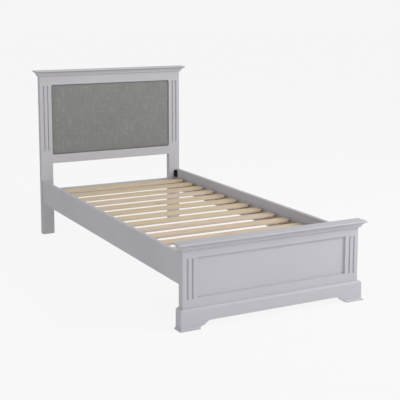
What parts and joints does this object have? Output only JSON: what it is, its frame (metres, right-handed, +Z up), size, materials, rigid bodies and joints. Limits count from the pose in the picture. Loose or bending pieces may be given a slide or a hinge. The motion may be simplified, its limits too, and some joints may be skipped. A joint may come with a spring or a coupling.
{
  "type": "bed frame",
  "caption": "Single bed frame in painted wood with an upholstered headboard panel, a low panelled footboard on a bracket-foot plinth, bolted side rails and pine slats for a mattress.",
  "frame": {"origin": "on the floor, at the middle of the overall width and length", "axes": "+X to the right seen from the foot, +Y from the foot to the head, +Z up"},
  "size_m": [1.017, 2.027, 1.03],
  "materials": {
    "painted_wood": "soft grey satin paint over wood, lightly brushed",
    "pine": "bare planed pine with small knots",
    "beech": "bare turned beech",
    "plywood": "bare plywood",
    "upholstery": "mid-grey slubbed plain weave",
    "foam": "open-cell foam",
    "black_steel": "black powder coat",
    "zinc_steel": "zinc plated",
    "glide_plastic": "dark moulded plastic"
  },
  "bodies": {
    "root": {"bracket_bolts": "black_steel", "bracket_screws": "black_steel", "foot_left_bracket": "black_steel", "foot_right_bracket": "black_steel", "footboard_bottom_rail": "painted_wood", "footboard_cap": "painted_wood", "footboard_cornice_front": "painted_wood", "footboard_cornice_left": "painted_wood", "footboard_cornice_right": "painted_wood", "footboard_left_post": "painted_wood", "footboard_panel": "painted_wood", "footboard_right_post": "painted_wood", "footboard_top_rail": "painted_wood", "head_left_bracket": "black_steel", "head_right_bracket": "black_steel", "headboard_back_panel": "painted_wood", "headboard_back_panel_screws": "zinc_steel", "headboard_cap": "painted_wood", "headboard_cornice_front": "painted_wood", "headboard_cornice_left": "painted_wood", "headboard_cornice_right": "painted_wood", "headboard_left_post": "painted_wood", "headboard_low_rail": "painted_wood", "headboard_middle_rail": "painted_wood", "headboard_pad_board": "plywood", "headboard_pad_cover": "upholstery", "headboard_pad_foam": "foam", "headboard_pad_screws": "zinc_steel", "headboard_right_post": "painted_wood", "headboard_top_rail": "painted_wood", "ledger_screws": "zinc_steel", "left_side_rail": "painted_wood", "left_slat_ledger": "pine", "leg_glides": "glide_plastic", "plinth_front": "painted_wood", "plinth_left_return": "painted_wood", "plinth_left_shoe": "painted_wood", "plinth_right_return": "painted_wood", "plinth_right_shoe": "painted_wood", "plinth_screws": "zinc_steel", "post_inserts": "zinc_steel", "rail_dowels": "beech", "right_side_rail": "painted_wood", "right_slat_ledger": "pine", "slat_01": "pine", "slat_02": "pine", "slat_03": "pine", "slat_04": "pine", "slat_05": "pine", "slat_06": "pine", "slat_07": "pine", "slat_08": "pine", "slat_09": "pine", "slat_10": "pine", "slat_11": "pine", "slat_12": "pine", "slat_13": "pine", "slat_screws": "zinc_steel"}
  },
  "joints": []
}
